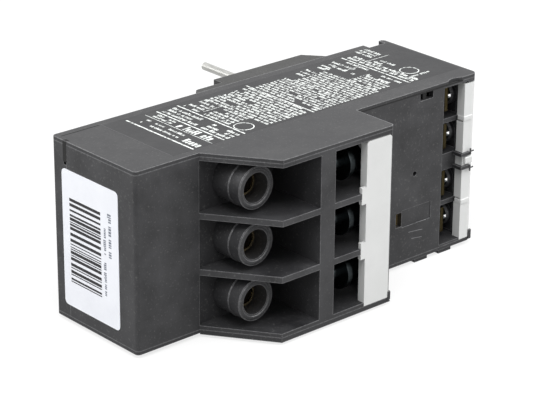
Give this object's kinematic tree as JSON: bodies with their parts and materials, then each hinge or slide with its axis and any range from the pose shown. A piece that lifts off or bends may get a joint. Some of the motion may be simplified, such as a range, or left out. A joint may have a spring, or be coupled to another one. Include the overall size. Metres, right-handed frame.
{
  "type": "thermal overload relay",
  "caption": "Plug-on bimetal overload relay for a three-pole contactor: moulded housing, screw wells, load and auxiliary terminals, trip gear, dial and buttons, contact pins.",
  "frame": {"origin": "root of the middle contact pin, at the pin block's contactor side face", "axes": "+X from the rear end to the operating front, +Y along the pins into the contactor, +Z from the plain side to the label side"},
  "size_m": [0.1062, 0.0798, 0.046],
  "materials": {
    "housing_plastic": "moulded, fine texture",
    "cover_plastic": "moulded, fine spark texture",
    "pin_block_plastic": "moulded, matt",
    "marker_white": "satin white",
    "sticker_paper": "smooth paper label",
    "tinned_copper": "tinned, bright",
    "brass": "stamped",
    "zinc_steel": "zinc plated",
    "bimetal": "rolled",
    "heater_wire": "wound resistance wire on glass sleeve",
    "gear_plastic": "moulded, natural",
    "dial_plastic": "moulded, light grey",
    "reset_blue": "moulded",
    "test_red": "moulded",
    "flag_orange": "moulded",
    "spring_steel": "drawn wire"
  },
  "bodies": {
    "root": {"aux_bar_1": "brass", "aux_bar_2": "brass", "aux_bar_3": "brass", "aux_bar_4": "brass", "aux_marker_strip": "marker_white", "base_cover": "housing_plastic", "bimetal_strip_1": "bimetal", "bimetal_strip_2": "bimetal", "bimetal_strip_3": "bimetal", "calibration_screw": "brass", "contact_pin_1": "tinned_copper", "contact_pin_2": "tinned_copper", "contact_pin_3": "tinned_copper", "feed_bar_1": "tinned_copper", "feed_bar_2": "tinned_copper", "feed_bar_3": "tinned_copper", "front_panel": "housing_plastic", "heater_1": "heater_wire", "heater_2": "heater_wire", "heater_3": "heater_wire", "housing": "housing_plastic", "label_cover": "cover_plastic", "lever_axle": "zinc_steel", "load_bar_1": "tinned_copper", "load_bar_2": "tinned_copper", "load_bar_3": "tinned_copper", "load_marker_strip": "marker_white", "pin_block": "pin_block_plastic", "plain_cover": "cover_plastic", "rear_sticker": "sticker_paper", "reset_spring": "spring_steel", "test_spring": "spring_steel", "well_screws": "brass"},
    "load_clamp_1": {"load_clamp_1": "zinc_steel"},
    "load_screw_1": {"load_screw_1": "zinc_steel"},
    "load_clamp_2": {"load_clamp_2": "zinc_steel"},
    "load_screw_2": {"load_screw_2": "zinc_steel"},
    "load_clamp_3": {"load_clamp_3": "zinc_steel"},
    "load_screw_3": {"load_screw_3": "zinc_steel"},
    "aux_clamp_1": {"aux_clamp_1": "brass"},
    "aux_screw_1": {"aux_screw_1": "zinc_steel"},
    "aux_clamp_2": {"aux_clamp_2": "brass"},
    "aux_screw_2": {"aux_screw_2": "zinc_steel"},
    "aux_clamp_3": {"aux_clamp_3": "brass"},
    "aux_screw_3": {"aux_screw_3": "zinc_steel"},
    "aux_clamp_4": {"aux_clamp_4": "brass"},
    "aux_screw_4": {"aux_screw_4": "zinc_steel"},
    "trip_slide": {"trip_slide": "gear_plastic"},
    "trip_lever": {"trip_lever": "bimetal"},
    "contact_carrier": {"contact_carrier": "gear_plastic", "nc_bridge": "brass", "no_bridge": "brass", "trip_flag": "flag_orange"},
    "setting_dial": {"setting_dial": "dial_plastic"},
    "mode_selector": {"mode_selector": "dial_plastic"},
    "reset_button": {"reset_button": "reset_blue"},
    "test_button": {"test_button": "test_red"}
  },
  "joints": [
    {"name": "load_clamp_1_slide", "type": "slide", "parent": "root", "child": "load_clamp_1", "axis": [1, 0, 0], "range_m": [-0.004, 0]},
    {"name": "load_screw_1_turn", "type": "hinge", "parent": "load_clamp_1", "child": "load_screw_1", "pos_m": [-0.0164, -0.0453, -0.014], "axis": [1, 0, 0], "range_deg": [-1800, 0]},
    {"name": "load_clamp_2_slide", "type": "slide", "parent": "root", "child": "load_clamp_2", "axis": [1, 0, 0], "range_m": [-0.004, 0]},
    {"name": "load_screw_2_turn", "type": "hinge", "parent": "load_clamp_2", "child": "load_screw_2", "pos_m": [-0.0164, -0.0453, 0], "axis": [1, 0, 0], "range_deg": [-1800, 0]},
    {"name": "load_clamp_3_slide", "type": "slide", "parent": "root", "child": "load_clamp_3", "axis": [1, 0, 0], "range_m": [-0.004, 0]},
    {"name": "load_screw_3_turn", "type": "hinge", "parent": "load_clamp_3", "child": "load_screw_3", "pos_m": [-0.0164, -0.0453, 0.014], "axis": [1, 0, 0], "range_deg": [-1800, 0]},
    {"name": "aux_clamp_1_slide", "type": "slide", "parent": "root", "child": "aux_clamp_1", "axis": [1, 0, 0], "range_m": [-0.0018, 0]},
    {"name": "aux_screw_1_turn", "type": "hinge", "parent": "aux_clamp_1", "child": "aux_screw_1", "pos_m": [0.0266, -0.0327, -0.0163], "axis": [1, 0, 0], "range_deg": [-1080, 0]},
    {"name": "aux_clamp_2_slide", "type": "slide", "parent": "root", "child": "aux_clamp_2", "axis": [1, 0, 0], "range_m": [-0.0018, 0]},
    {"name": "aux_screw_2_turn", "type": "hinge", "parent": "aux_clamp_2", "child": "aux_screw_2", "pos_m": [0.0266, -0.0327, -0.0063], "axis": [1, 0, 0], "range_deg": [-1080, 0]},
    {"name": "aux_clamp_3_slide", "type": "slide", "parent": "root", "child": "aux_clamp_3", "axis": [1, 0, 0], "range_m": [-0.0018, 0]},
    {"name": "aux_screw_3_turn", "type": "hinge", "parent": "aux_clamp_3", "child": "aux_screw_3", "pos_m": [0.0266, -0.0327, 0.0063], "axis": [1, 0, 0], "range_deg": [-1080, 0]},
    {"name": "aux_clamp_4_slide", "type": "slide", "parent": "root", "child": "aux_clamp_4", "axis": [1, 0, 0], "range_m": [-0.0018, 0]},
    {"name": "aux_screw_4_turn", "type": "hinge", "parent": "aux_clamp_4", "child": "aux_screw_4", "pos_m": [0.0266, -0.0327, 0.0163], "axis": [1, 0, 0], "range_deg": [-1080, 0]},
    {"name": "trip_slide_travel", "type": "slide", "parent": "root", "child": "trip_slide", "axis": [0, 1, 0], "range_m": [0, 0.002]},
    {"name": "trip_lever_swing", "type": "hinge", "parent": "root", "child": "trip_lever", "pos_m": [0.001, -0.0165, 0], "axis": [0, 0, 1], "range_deg": [-14, 0]},
    {"name": "contact_carrier_travel", "type": "slide", "parent": "root", "child": "contact_carrier", "axis": [0, 1, 0], "range_m": [-0.0021, 0]},
    {"name": "setting_dial_turn", "type": "hinge", "parent": "root", "child": "setting_dial", "pos_m": [0.0316, -0.0155, 0.0086], "axis": [1, 0, 0], "range_deg": [-130, 130]},
    {"name": "mode_selector_turn", "type": "hinge", "parent": "root", "child": "mode_selector", "pos_m": [0.0316, -0.0155, 0.0172], "axis": [1, 0, 0], "range_deg": [0, 90]},
    {"name": "reset_button_press", "type": "slide", "parent": "root", "child": "reset_button", "axis": [1, 0, 0], "range_m": [-0.002, 0], "stiffness_N_per_m": 500, "springref_m": 0.002, "deforming": ["reset_spring"]},
    {"name": "test_button_press", "type": "slide", "parent": "root", "child": "test_button", "axis": [1, 0, 0], "range_m": [-0.0015, 0], "stiffness_N_per_m": 300, "springref_m": 0.002, "deforming": ["test_spring"]}
  ],
  "couplings": [
    {"joint": "load_screw_1_turn", "follows": "load_clamp_1_slide", "rad_per_m": 7854},
    {"joint": "load_screw_2_turn", "follows": "load_clamp_2_slide", "rad_per_m": 7854},
    {"joint": "load_screw_3_turn", "follows": "load_clamp_3_slide", "rad_per_m": 7854},
    {"joint": "aux_screw_1_turn", "follows": "aux_clamp_1_slide", "rad_per_m": 10472},
    {"joint": "aux_screw_2_turn", "follows": "aux_clamp_2_slide", "rad_per_m": 10472},
    {"joint": "aux_screw_3_turn", "follows": "aux_clamp_3_slide", "rad_per_m": 10472},
    {"joint": "aux_screw_4_turn", "follows": "aux_clamp_4_slide", "rad_per_m": 10472},
    {"joint": "trip_lever_swing", "follows": "trip_slide_travel", "rad_per_m": -118.76},
    {"joint": "contact_carrier_travel", "follows": "trip_slide_travel", "ratio": -1}
  ]
}
